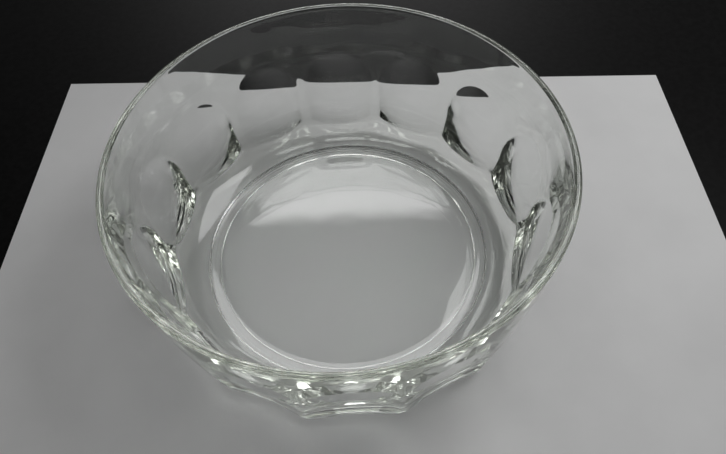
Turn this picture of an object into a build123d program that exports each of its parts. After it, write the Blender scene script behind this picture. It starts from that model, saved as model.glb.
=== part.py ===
from build123d import *
import math
import os

# A round bowl pressed from one piece of clear glass. Its outer wall carries a
# ring of hollow thumbprint facets, and it stands on a raised foot ring.
# +Z is up. The origin is the centre of the foot ring's bearing face.
# Profile corners are (radius, height) pairs, in millimetres.

# Lip
RIM_RADIUS = 115.0
HEIGHT = 89.0
LIP_THICKNESS = 3.6

# Outer wall: a faceted lower cone from the lower corner, then a steeper plain cone to the lip
CORNER = (103.4, 6.2)
CORNER_ROUND = 4.0
WALL_BREAK = (110.3, 43.5)
BREAK_ROUND = 170.0

# Inner wall and floor: a straight cone, rounded into the flat floor
INNER_SLOPE = 11.9
INNER_ROUND = 32.0
FLOOR_HEIGHT = 5.6

# Foot ring and underside
FOOT_RADIUS = 80.6
FOOT_WIDTH = 6.6
FOOT_DEPTH = 2.8
FOOT_DRAFT = 0.25
FOOT_EDGE = 0.35
FOOT_FILLET = 0.5
BASE_RECESS = 1.0

# Thumbprint facets, one facing -Y. Each is a hollow of constant round section
# that follows the wall and then curves out of it at an arched top.
FACETS = 14
FACET_SECTION_RADIUS = 90.0
FACET_LOW = (99.2, 6.0)
FACET_SHOULDER = (102.95, 31.5)
FACET_TOP_RADIUS = 70.0
FACET_TOP_TURN = 40.0
FACET_RUN_OUT = 20.0

LIP_HEIGHT = HEIGHT - LIP_THICKNESS / 2
INNER_DROP = (LIP_HEIGHT - FLOOR_HEIGHT) * math.tan(math.radians(INNER_SLOPE))
FLOOR_CORNER = (RIM_RADIUS - LIP_THICKNESS - INNER_DROP, FLOOR_HEIGHT)
FOOT_OUTER = (FOOT_RADIUS, 0)
FOOT_INNER = (FOOT_RADIUS - FOOT_WIDTH, 0)
FOOT_ROOT = (FOOT_RADIUS + FOOT_DRAFT, FOOT_DEPTH)

ROUNDED = (
    (WALL_BREAK, BREAK_ROUND),
    (FLOOR_CORNER, INNER_ROUND),
    (FOOT_INNER, FOOT_EDGE),
    (FOOT_OUTER, FOOT_EDGE),
    (FOOT_ROOT, FOOT_FILLET),
    (CORNER, CORNER_ROUND),
)


def point(pair):
    """A profile corner in the XZ plane."""
    radius, height = pair
    return Vector(radius, 0, height)


def glass_profile():
    """Half section of the glass, from the axis under the base to the axis over the floor."""
    recess_edge = (FOOT_RADIUS - FOOT_WIDTH - FOOT_DRAFT, BASE_RECESS)
    lip_outer = point((RIM_RADIUS, LIP_HEIGHT))
    lip_top = point((RIM_RADIUS - LIP_THICKNESS / 2, HEIGHT))
    lip_inner = point((RIM_RADIUS - LIP_THICKNESS, LIP_HEIGHT))
    base = [point(p) for p in ((0, BASE_RECESS), recess_edge, FOOT_INNER, FOOT_OUTER, FOOT_ROOT)]
    floor = [point(p) for p in (FLOOR_CORNER, (0, FLOOR_HEIGHT), (0, BASE_RECESS))]
    outline = [
        Polyline(*base, point(CORNER), point(WALL_BREAK), lip_outer),
        ThreePointArc(lip_outer, lip_top, lip_inner),
        Polyline(lip_inner, *floor),
    ]
    return make_face(outline)


def round_off(profile, corner, radius):
    """The profile with one of its corners rounded."""
    near = [vertex for vertex in profile.vertices() if (Vector(vertex) - point(corner)).length < 0.01]
    return fillet(near, radius)


def facet_grinder():
    """The wheel-shaped body that hollows out one facet, on the +X side of the bowl."""
    low = point(FACET_LOW)
    shoulder = point(FACET_SHOULDER)
    slope = (shoulder - low).normalized()
    outward = Vector(slope.Z, 0, -slope.X)
    centre = shoulder + outward * FACET_TOP_RADIUS

    def on_arc(degrees):
        turn = math.radians(degrees)
        return centre + (slope * math.sin(turn) - outward * math.cos(turn)) * FACET_TOP_RADIUS

    start = low - slope * FACET_RUN_OUT
    end = on_arc(FACET_TOP_TURN)
    axis_x = FACET_SHOULDER[0] + FACET_SECTION_RADIUS
    outline = [
        Line(start, shoulder),
        ThreePointArc(shoulder, on_arc(FACET_TOP_TURN / 2), end),
        Polyline(end, Vector(axis_x, 0, end.Z), Vector(axis_x, 0, start.Z), start),
    ]
    return revolve(make_face(outline), Axis((axis_x, 0, 0), (0, 0, 1)))


def make_bowl():
    profile = glass_profile()
    for corner, radius in ROUNDED:
        profile = round_off(profile, corner, radius)
    bowl = revolve(profile, Axis.Z)
    grinder = facet_grinder()
    for index in range(FACETS):
        bowl -= Rot(0, 0, -90 + index * 360 / FACETS) * grinder
    return bowl


glass_bowl = make_bowl()
glass_bowl.label = "bowl"
os.makedirs("parts", exist_ok=True)
export_step(glass_bowl, "parts/bowl.step")
print("bowl volume, cm3:", round(glass_bowl.volume / 1000, 1))
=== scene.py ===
import math

import bmesh
import bpy
from mathutils import Matrix, Vector, noise


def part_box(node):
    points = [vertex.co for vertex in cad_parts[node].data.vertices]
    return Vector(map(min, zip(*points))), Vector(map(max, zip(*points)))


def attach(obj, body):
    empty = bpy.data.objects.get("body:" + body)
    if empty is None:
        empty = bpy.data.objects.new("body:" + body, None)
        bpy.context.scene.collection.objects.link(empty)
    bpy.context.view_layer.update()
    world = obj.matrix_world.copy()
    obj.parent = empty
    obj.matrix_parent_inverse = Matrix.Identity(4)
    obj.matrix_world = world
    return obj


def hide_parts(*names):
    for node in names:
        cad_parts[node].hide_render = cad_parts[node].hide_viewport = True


# A pressed-glass bowl on a pale floor sheet. Lengths are metres, and the
# row's frame is the bowl's own: +Z up, origin under the middle of its foot.
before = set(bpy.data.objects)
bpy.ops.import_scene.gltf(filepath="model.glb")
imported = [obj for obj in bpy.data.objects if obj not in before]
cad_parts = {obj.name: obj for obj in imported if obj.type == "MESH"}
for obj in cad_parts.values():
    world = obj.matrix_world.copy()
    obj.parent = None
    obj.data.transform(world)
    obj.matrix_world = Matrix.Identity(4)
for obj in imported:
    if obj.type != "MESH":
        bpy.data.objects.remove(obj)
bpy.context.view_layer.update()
low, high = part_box("bowl")
RIM_RADIUS = (high.x - low.x) / 2
HEIGHT = high.z
MM = 0.001

# ---------------------------------------------------------------- the glass
# The profile is the CAD bowl's, as (radius, height) pairs.
LIP_HALF = 1.8 * MM
FOOT_RADIUS = 80.6 * MM
FOOT_WIDTH = 6.6 * MM
FOOT_DEPTH = 2.8 * MM
FOOT_DRAFT = 0.25 * MM
FOOT_EDGE = 0.35 * MM
FOOT_FILLET = 0.5 * MM
FOOT_GROOVES = (79.0 * MM, 77.1 * MM)  # fine rings pressed into the bearing face
GROOVE_WIDTH = 1.1 * MM
GROOVE_DEPTH = 0.3 * MM
KNURL_DEPTH = 0.35 * MM  # radial notches round the bearing face's inner edge
KNURL_LENGTH = 1.5 * MM
BASE_RECESS = 1.0 * MM
HUB = 0.02 * RIM_RADIUS  # radius of the small disc that closes the floor and the recess
CORNER = (103.4 * MM, 6.2 * MM)
LAND_ROUND = 3.6 * MM  # round of the lower corner between two facets
FACET_HEEL_ROUND = 1.0 * MM  # round of the lower corner at a facet's middle
FACET_HEEL_FADE = 3.0 * MM  # depth of cut over which the one becomes the other
WALL_BREAK = (110.3 * MM, 43.5 * MM)
BREAK_BLEND = 1.0 * MM
INNER_SLOPE = math.tan(math.radians(11.9))
INNER_ROUND = 32.0 * MM
FLOOR_HEIGHT = 5.6 * MM

FACETS = 14
FACET_SECTION_RADIUS = 90.0 * MM
FACET_LOW = (99.2 * MM, 6.0 * MM)
FACET_SHOULDER = (102.95 * MM, 31.5 * MM)
FACET_TOP_RADIUS = 70.0 * MM
POLISH = 0.15 * MM  # how far the fire polish rounds the facets' edges

# Unevenness that pressing leaves in the surface
WAVE_SIZE = 17.0 * MM
WAVE_HEIGHT = 0.10 * MM
WAVE_SHIFT = 0.37  # sets the outer wall's waves apart from the inner wall's
WAVE_BIAS = 0.3  # how far the waved wall sits towards the axis, as a share of WAVE_HEIGHT
WAVE_FADE = (4 * MM, 14 * MM)  # from either end of the wall
CREASE_SIZE = 26.0 * MM
CREASE_STRETCH = 5.0
CREASE_HEIGHT = 0.035 * MM
FLOOR_WAVE_HEIGHT = 0.08 * MM
FLOOR_WAVE_EDGE = 66.0 * MM
FLOOR_WAVE_FADE = 8.0 * MM
FLOOR_RIPPLE_SIZE = 7.0 * MM
FLOOR_RIPPLE_HEIGHT = 0.035 * MM
FLOOR_RIPPLE_START = 42.0 * MM
FLOOR_RIPPLE_FADE = 12.0 * MM

# Mesh density: steps round each facet, and rows along each stretch of the profile
STEPS_PER_FACET = 36
ROWS_BASE = 6
ROWS_UNDERSIDE = 4
ROWS_CORNER = 8
ROWS_EDGE = 3
ROWS_FILLET = 4
ROWS_WALL = ((30.0 * MM, 16), (57.0 * MM, 34), (HEIGHT - LIP_HALF, 10))  # (up to height, rows)
ROWS_LIP = 14
ROWS_INNER = 28
ROWS_BEND = 26
ROWS_FLOOR = 20


def on_line(a, b, z):
    """Radius at height z on the straight line through two profile points."""
    return a[0] + (b[0] - a[0]) * (z - a[1]) / (b[1] - a[1])


def smooth_min(a, b, width):
    """The lesser of a and b, with the corner between them rounded over width."""
    t = min(max(0.5 + 0.5 * (b - a) / width, 0.0), 1.0)
    return b + (a - b) * t - width * t * (1 - t)


LIP_HEIGHT = HEIGHT - LIP_HALF
LIP_OUTER = (RIM_RADIUS, LIP_HEIGHT)
FOOT_ROOT = (FOOT_RADIUS + FOOT_DRAFT, FOOT_DEPTH)
FOOT_INNER = FOOT_RADIUS - FOOT_WIDTH
RECESS_EDGE = (FOOT_INNER - FOOT_DRAFT, BASE_RECESS)


def underside_height(r):
    """Height of the underside between the foot and the lower corner."""
    t = (r - FOOT_ROOT[0]) / (CORNER[0] - FOOT_ROOT[0])
    return FOOT_ROOT[1] + t * (CORNER[1] - FOOT_ROOT[1])


def plain_radius(z):
    """Outer radius at height z where no facet is cut."""
    lower = on_line(CORNER, WALL_BREAK, z)
    return smooth_min(lower, on_line(WALL_BREAK, LIP_OUTER, z), BREAK_BLEND)


def inner_radius(z):
    """Radius of the inside wall at height z, above its round into the floor."""
    return RIM_RADIUS - 2 * LIP_HALF - INNER_SLOPE * (LIP_HEIGHT - z)


def facet_depth_radius(z):
    """Distance from the bowl's axis to the hollow at a facet's middle."""
    slope = (FACET_SHOULDER[0] - FACET_LOW[0]) / (FACET_SHOULDER[1] - FACET_LOW[1])
    lean = math.atan(slope)
    centre_r = FACET_SHOULDER[0] + FACET_TOP_RADIUS * math.cos(lean)
    centre_z = FACET_SHOULDER[1] - FACET_TOP_RADIUS * math.sin(lean)
    if z <= FACET_SHOULDER[1]:
        return FACET_LOW[0] + slope * (z - FACET_LOW[1])
    rise = min((z - centre_z) / FACET_TOP_RADIUS, 1.0)
    return centre_r - FACET_TOP_RADIUS * math.sqrt(1 - rise * rise)


def wall_radius(z, turn):
    """Outer radius at height z, at an angle of turn from a facet's middle."""
    plain = plain_radius(z)
    axis = FACET_SHOULDER[0] + FACET_SECTION_RADIUS
    grind = axis - facet_depth_radius(z)
    reach = grind * grind - (axis * math.sin(turn)) ** 2
    if reach <= 0:
        return plain
    return smooth_min(plain, axis * math.cos(turn) - math.sqrt(reach), POLISH)


def lower_corner(turn):
    """Where the underside meets the outer wall."""
    z = CORNER[1]
    for _ in range(12):
        z = underside_height(wall_radius(z, turn))
    return wall_radius(z, turn), z


def spaced(start, end, rows):
    """Points on a straight line, without its last one."""
    return [
        (start[0] + (end[0] - start[0]) * i / rows, start[1] + (end[1] - start[1]) * i / rows)
        for i in range(rows)
    ]


def bent(a, control, b, rows):
    """Points on a quadratic curve, without its last one."""
    out = []
    for i in range(rows):
        t = i / rows
        wa, wc, wb = (1 - t) ** 2, 2 * t * (1 - t), t * t
        out.append(tuple(wa * p + wc * q + wb * s for p, q, s in zip(a, control, b)))
    return out


def inner_bend():
    """Centre of the round between floor and inner wall, and the angle where it meets the wall."""
    z = FLOOR_HEIGHT + INNER_ROUND
    slant = math.atan(INNER_SLOPE)
    return (inner_radius(z) - INNER_ROUND / math.cos(slant), z), -slant


def foot_points(notched):
    """The foot ring's section, from the recess to the start of the underside's fillet."""
    notch = KNURL_DEPTH if notched else 0.0
    step = (FOOT_INNER, BASE_RECESS - FOOT_DRAFT)
    side = (FOOT_RADIUS, FOOT_EDGE)
    points = bent(RECESS_EDGE, (FOOT_INNER, BASE_RECESS), step, ROWS_EDGE)
    points += bent(step, (FOOT_INNER, notch), (FOOT_INNER + FOOT_EDGE, notch), ROWS_EDGE)
    points.append((FOOT_INNER + FOOT_EDGE, notch))
    points.append((FOOT_INNER + KNURL_LENGTH, notch))
    for groove in reversed(FOOT_GROOVES):
        points.append((groove - GROOVE_WIDTH / 2, 0.0))
        points.append((groove, GROOVE_DEPTH))
        points.append((groove + GROOVE_WIDTH / 2, 0.0))
    points += bent((FOOT_RADIUS - FOOT_EDGE, 0.0), (FOOT_RADIUS, 0.0), side, ROWS_EDGE)
    points.append(side)
    return points


def underside_points(before_r):
    """From the fillet at the foot's root out to the start of the lower corner's round."""
    fillet_z = FOOT_DEPTH - FOOT_FILLET
    fillet_start = (on_line((FOOT_RADIUS, 0.0), FOOT_ROOT, fillet_z), fillet_z)
    root_r = FOOT_ROOT[0] + FOOT_FILLET
    points = bent(fillet_start, FOOT_ROOT, (root_r, underside_height(root_r)), ROWS_FILLET)
    for i in range(ROWS_UNDERSIDE):
        r = root_r + (before_r - root_r) * i / ROWS_UNDERSIDE
        points.append((r, underside_height(r)))
    return points


def outer_wall_points(turn, start_z):
    """Up the outside, from the lower corner's round to the lip."""
    points = []
    for end_z, rows in ROWS_WALL:
        for i in range(rows):
            z = start_z + (end_z - start_z) * i / rows
            points.append((wall_radius(z, turn), z))
        start_z = end_z
    return points


def inside_points():
    """Over the lip, down the inside wall and across the floor."""
    points = []
    for i in range(ROWS_LIP):
        angle = math.pi * i / ROWS_LIP
        lip_r = RIM_RADIUS - LIP_HALF + LIP_HALF * math.cos(angle)
        points.append((lip_r, LIP_HEIGHT + LIP_HALF * math.sin(angle)))
    centre, start = inner_bend()
    join_z = centre[1] + INNER_ROUND * math.sin(start)
    for i in range(ROWS_INNER):
        z = LIP_HEIGHT + (join_z - LIP_HEIGHT) * i / ROWS_INNER
        points.append((inner_radius(z), z))
    for i in range(ROWS_BEND):
        angle = start + (-math.pi / 2 - start) * i / ROWS_BEND
        bend_r = centre[0] + INNER_ROUND * math.cos(angle)
        points.append((bend_r, centre[1] + INNER_ROUND * math.sin(angle)))
    points += spaced((centre[0], FLOOR_HEIGHT), (HUB, FLOOR_HEIGHT), ROWS_FLOOR)
    points.append((HUB, FLOOR_HEIGHT))
    return points


def profile(turn, notched):
    """The half section at one angle, from the recess's middle round to the floor's."""
    corner_r, corner_z = lower_corner(turn)
    cut = min((CORNER[0] - corner_r) / FACET_HEEL_FADE, 1.0)
    corner_round = LAND_ROUND + (FACET_HEEL_ROUND - LAND_ROUND) * cut
    before_r = corner_r - corner_round
    before = (before_r, underside_height(before_r))
    after_z = corner_z + corner_round
    after = (wall_radius(after_z, turn), after_z)

    points = spaced((HUB, BASE_RECESS), RECESS_EDGE, ROWS_BASE)
    points += foot_points(notched)
    points += underside_points(before_r)
    points += bent(before, (corner_r, corner_z), after, ROWS_CORNER)
    points += outer_wall_points(turn, after_z)
    points += inside_points()
    return points


def ripple(x, y, z, size, height):
    """A smooth wave of the surface, like those that pressing leaves in glass."""
    return noise.noise(Vector((x, y, z * 0.5)) / size) * height


def crease(x, y, z):
    """A faint level wrinkle, like those where the glass first chills on the mould."""
    return noise.noise(Vector((x, y, z * CREASE_STRETCH)) / CREASE_SIZE) * CREASE_HEIGHT


def ramp_up(value, start, end):
    """0 before start, 1 after end and a straight rise between."""
    return min(max((value - start) / (end - start), 0.0), 1.0)


def wavy(r, z, angle):
    """A profile point on the wall moved a little in or out, or one on the floor up or down."""
    x, y = r * math.cos(angle), r * math.sin(angle)
    if z > FLOOR_HEIGHT - 0.1 * MM and r < inner_bend()[0][0] + 1 * MM:
        fade = ramp_up(FLOOR_WAVE_EDGE - r, 0.0, FLOOR_WAVE_FADE)
        fine = fade * ramp_up(r, FLOOR_RIPPLE_START, FLOOR_RIPPLE_START + FLOOR_RIPPLE_FADE)
        z += fade * ripple(x, y, z, WAVE_SIZE, FLOOR_WAVE_HEIGHT)
        return r, z + fine * ripple(x, y, z, FLOOR_RIPPLE_SIZE, FLOOR_RIPPLE_HEIGHT)
    fade = ramp_up(z, *WAVE_FADE) * ramp_up(HEIGHT - z, *WAVE_FADE)
    shift = WAVE_SHIFT if r > inner_radius(z) + 1 * MM else 0.0
    wave = ripple(x + shift, y, z, WAVE_SIZE, WAVE_HEIGHT) + crease(x + shift, y, z)
    return r + fade * (wave - WAVE_HEIGHT * WAVE_BIAS), z


def make_glass():
    """The whole bowl as one closed mesh, turned from the half sections."""
    half = STEPS_PER_FACET // 2
    step = 2 * math.pi / (FACETS * STEPS_PER_FACET)
    sections = [profile(abs(i - half) * step, i % 2 == 1) for i in range(STEPS_PER_FACET)]
    mesh = bmesh.new()
    columns = []
    for i in range(FACETS * STEPS_PER_FACET):
        angle = (i - half) * step - math.pi / 2
        c, s = math.cos(angle), math.sin(angle)
        column = []
        for j, (r, z) in enumerate(sections[i % STEPS_PER_FACET]):
            r, z = wavy(r, z, angle)
            column.append(mesh.verts.new((r * c, r * s, z)))
        columns.append(column)
    for column, following in zip(columns, columns[1:] + columns[:1]):
        for j in range(len(column) - 1):
            mesh.faces.new((column[j], following[j], following[j + 1], column[j + 1]))
    mesh.faces.new([column[0] for column in reversed(columns)])
    mesh.faces.new([column[-1] for column in columns])
    bmesh.ops.recalc_face_normals(mesh, faces=mesh.faces)
    for face in mesh.faces:
        face.smooth = True
    data = bpy.data.meshes.new("bowl_glass")
    mesh.to_mesh(data)
    mesh.free()
    piece = bpy.data.objects.new("bowl_glass", data)
    bpy.context.scene.collection.objects.link(piece)
    return piece


def add_noise(tree, size, detail):
    """A noise texture whose features are about size metres across."""
    where = tree.nodes.new("ShaderNodeTexCoord")
    texture = tree.nodes.new("ShaderNodeTexNoise")
    texture.inputs["Scale"].default_value = 1 / size
    texture.inputs["Detail"].default_value = detail
    tree.links.new(where.outputs["Object"], texture.inputs["Vector"])
    return texture


def add_ramp(tree, source, target, stops):
    """A ramp from the source's level to the target, through (place, colour) stops."""
    ramp = tree.nodes.new("ShaderNodeValToRGB")
    elements = ramp.color_ramp.elements
    for place, _ in stops[1:-1]:
        elements.new(place)
    for element, (place, color) in zip(elements, stops):
        element.position = place
        element.color = (*color, 1)
    tree.links.new(source, ramp.inputs["Fac"])
    tree.links.new(ramp.outputs["Color"], target)


def grey(level):
    return (level, level, level)


def glass_material():
    """Clear soda glass, faintly green in its thickness, with slight streaks and handling smears."""
    material = bpy.data.materials.new("clear_pressed_glass")
    material.use_nodes = True
    tree = material.node_tree
    shader = tree.nodes["Principled BSDF"]
    shader.inputs["Transmission Weight"].default_value = 1.0
    shader.inputs["IOR"].default_value = 1.52
    streaks = add_noise(tree, 30 * MM, 3.0)
    clear, streaked = (0.990, 0.997, 0.993), (0.965, 0.982, 0.970)
    add_ramp(tree, streaks.outputs["Fac"], shader.inputs["Base Color"], ((0.40, clear), (0.70, streaked)))
    smears = add_noise(tree, 14 * MM, 6.0)
    haze = ((0.56, grey(0.0)), (0.66, grey(0.012)), (0.80, grey(0.05)))
    add_ramp(tree, smears.outputs["Fac"], shader.inputs["Roughness"], haze)
    tint = tree.nodes.new("ShaderNodeVolumeAbsorption")
    tint.inputs["Color"].default_value = (0.88, 0.905, 0.85, 1)
    tint.inputs["Density"].default_value = 18.0
    tree.links.new(tint.outputs["Volume"], tree.nodes["Material Output"].inputs["Volume"])
    return material


glass = make_glass()
glass.data.materials.append(glass_material())
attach(glass, "root")
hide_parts("bowl")

# ---------------------------------------------------------------- the stage
SHEET_CORNERS = ((-1.879, -1.273), (1.900, -1.521), (1.927, 1.149), (-1.693, 1.401))  # in rim radii
TABLE_CORNERS = ((-26, -26), (26, -26), (26, 26), (-26, 26))
SHEET_HEIGHT = -0.2 * MM
TABLE_HEIGHT = -3.0 * MM


def matt_material(name, levels, grain, roughness, shine):
    """A neutral matt surface, mottled between two grey levels."""
    material = bpy.data.materials.new(name)
    material.use_nodes = True
    tree = material.node_tree
    shader = tree.nodes["Principled BSDF"]
    mottle = add_noise(tree, grain, 4.0)
    stops = ((0.35, grey(levels[0])), (0.65, grey(levels[1])))
    add_ramp(tree, mottle.outputs["Fac"], shader.inputs["Base Color"], stops)
    shader.inputs["Roughness"].default_value = roughness
    shader.inputs["Specular IOR Level"].default_value = shine
    return material


def stage_plane(name, corners, height, material):
    data = bpy.data.meshes.new(name)
    spots = [(x * RIM_RADIUS, y * RIM_RADIUS, height) for x, y in corners]
    data.from_pydata(spots, [], [(0, 1, 2, 3)])
    data.materials.append(material)
    plane = bpy.data.objects.new(name, data)
    bpy.context.scene.collection.objects.link(plane)


stage_plane(
    "pale_floor",
    SHEET_CORNERS,
    SHEET_HEIGHT,
    matt_material("pale_paper", (0.74, 0.79), 60 * MM, 0.7, 0.2),
)
stage_plane(
    "dark_table",
    TABLE_CORNERS,
    TABLE_HEIGHT,
    matt_material("dark_table", (0.0005, 0.003), 4 * MM, 0.4, 0.05),
)


ROOM_AZIMUTH = 20.0
ROOM_ELEVATION = 66.0
ROOM_LEVELS = ((0.0, 0.01), (0.45, 0.035), (0.7, 0.20), (1.0, 0.62))


def soften(data):
    """Fades the light out towards its panel's edges."""
    data.use_nodes = True
    tree = data.node_tree
    where = tree.nodes.new("ShaderNodeNewGeometry")
    split = tree.nodes.new("ShaderNodeSeparateXYZ")
    tree.links.new(where.outputs["Parametric"], split.inputs["Vector"])
    level = None
    for side in ("X", "Y"):
        centred = tree.nodes.new("ShaderNodeMath")
        centred.operation = "SUBTRACT"
        centred.inputs[1].default_value = 0.5
        tree.links.new(split.outputs[side], centred.inputs[0])
        size = tree.nodes.new("ShaderNodeMath")
        size.operation = "ABSOLUTE"
        tree.links.new(centred.outputs[0], size.inputs[0])
        fade = tree.nodes.new("ShaderNodeMapRange")
        fade.interpolation_type = "SMOOTHSTEP"
        fade.inputs["From Min"].default_value = 0.5
        fade.inputs["From Max"].default_value = 0.45
        tree.links.new(size.outputs[0], fade.inputs["Value"])
        if level is None:
            level = fade.outputs[0]
        else:
            both = tree.nodes.new("ShaderNodeMath")
            both.operation = "MULTIPLY"
            tree.links.new(level, both.inputs[0])
            tree.links.new(fade.outputs[0], both.inputs[1])
            level = both.outputs[0]
    tree.links.new(level, tree.nodes["Emission"].inputs["Strength"])


def soft_light(name, azimuth, elevation, distance, size, power):
    """A rectangular soft light aimed at the bowl. Azimuth 0 is beyond the bowl, on +Y."""
    a, e = math.radians(azimuth), math.radians(elevation)
    away = Vector((math.sin(a) * math.cos(e), math.cos(a) * math.cos(e), math.sin(e)))
    data = bpy.data.lights.new(name, "AREA")
    data.shape = "RECTANGLE"
    data.size, data.size_y = size
    data.energy = power
    soften(data)
    light = bpy.data.objects.new(name, data)
    light.location = away * distance
    light.rotation_mode = "QUATERNION"
    light.rotation_quaternion = away.to_track_quat("Z", "Y")
    bpy.context.scene.collection.objects.link(light)
    return light


# The window is seen in the glass only. The paper is lit from overhead.
window = soft_light("key_window", 1, 33.5, 3.0, (1.6, 2.3), 41.0)
window.visible_diffuse = False
soft_light("right_fill", 65, 52, 0.7, (0.35, 0.35), 1.6)


def room_world():
    """A plain room, brightest overhead towards the window and dark behind the viewer."""
    world = bpy.data.worlds.new("studio")
    world.use_nodes = True
    tree = world.node_tree
    where = tree.nodes.new("ShaderNodeTexCoord")
    toward = tree.nodes.new("ShaderNodeVectorMath")
    toward.operation = "DOT_PRODUCT"
    azimuth, elevation = math.radians(ROOM_AZIMUTH), math.radians(ROOM_ELEVATION)
    toward.inputs[1].default_value = (
        math.sin(azimuth) * math.cos(elevation),
        math.cos(azimuth) * math.cos(elevation),
        math.sin(elevation),
    )
    ramp = tree.nodes.new("ShaderNodeValToRGB")
    tree.links.new(where.outputs["Generated"], toward.inputs[0])
    tree.links.new(toward.outputs["Value"], ramp.inputs["Fac"])
    tree.links.new(ramp.outputs["Color"], tree.nodes["Background"].inputs["Color"])
    elements = ramp.color_ramp.elements
    for place, _ in ROOM_LEVELS[1:-1]:
        elements.new(place)
    for element, (place, level) in zip(elements, ROOM_LEVELS):
        element.position = place
        element.color = (*grey(level), 1)
    tree.nodes["Background"].inputs["Strength"].default_value = 1.0
    bpy.context.scene.world = world


room_world()

# --------------------------------------------------------------- the camera
PITCH = math.radians(54.84)
ROLL = math.radians(3.64)
DISTANCE = 3.532 * RIM_RADIUS
TARGET = Vector((0.0872, 0.1554, 0.0)) * RIM_RADIUS
LENS = 33.4


def make_camera():
    ahead = Vector((0, math.cos(PITCH), -math.sin(PITCH)))
    across = Vector((1, 0, 0))
    up = across.cross(ahead)
    right = across * math.cos(ROLL) - up * math.sin(ROLL)
    top = across * math.sin(ROLL) + up * math.cos(ROLL)
    data = bpy.data.cameras.new("camera")
    data.sensor_width = 36
    data.lens = LENS
    camera = bpy.data.objects.new("camera", data)
    turn = Matrix((right, top, -ahead)).transposed()
    camera.matrix_world = Matrix.Translation(TARGET - ahead * DISTANCE) @ turn.to_4x4()
    bpy.context.scene.collection.objects.link(camera)
    bpy.context.scene.camera = camera


make_camera()
scene = bpy.context.scene
scene.view_settings.view_transform = "Standard"
scene.cycles.max_bounces = 24
scene.cycles.transmission_bounces = 24
scene.cycles.glossy_bounces = 12
